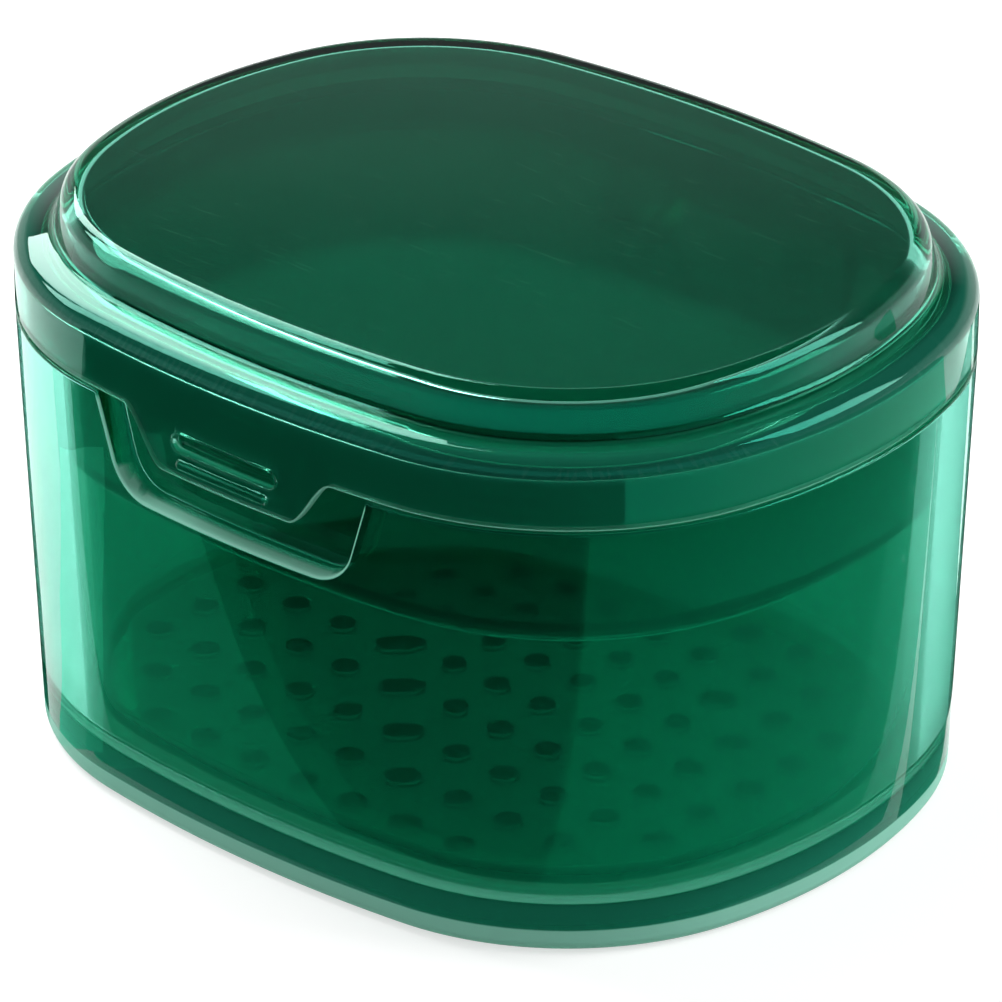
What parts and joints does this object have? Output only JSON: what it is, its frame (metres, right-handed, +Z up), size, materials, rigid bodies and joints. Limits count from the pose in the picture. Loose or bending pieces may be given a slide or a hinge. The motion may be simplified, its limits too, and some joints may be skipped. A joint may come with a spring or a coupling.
{
  "type": "denture case",
  "caption": "Rounded clear green soaking case with a hinged snap lid, a sealing ring and a lift-out strainer basket with a perforated floor.",
  "frame": {"origin": "centre of the flat face under the case, on the surface it stands on", "axes": "+Z up; -Y towards the finger notch and the snap tab; +Y towards the hinge; +X along the width, to the right seen from the front"},
  "size_m": [0.1, 0.0879, 0.061],
  "materials": {
    "clear_green": "polished, tinted clear",
    "basket_green": "polished, tinted clear",
    "silicone": "soft, satin, deep green",
    "steel": "drawn wire"
  },
  "bodies": {
    "case": {"case_body": "clear_green", "hinge_pin": "steel"},
    "lid": {"lid": "clear_green", "sealing_ring": "silicone"},
    "basket": {"strainer_basket": "basket_green"}
  },
  "joints": [
    {"name": "lid_hinge", "type": "hinge", "parent": "case", "child": "lid", "pos_m": [0, 0.04395, 0.0464], "axis": [-1, 0, 0], "range_deg": [0, 115]},
    {"name": "basket_lift", "type": "slide", "parent": "case", "child": "basket", "axis": [0, 0, 1], "range_m": [0, 0.04]}
  ],
  "couplings": [
    {"joint": "basket_lift", "follows": "lid_hinge", "m_per_rad": 0.01993}
  ]
}
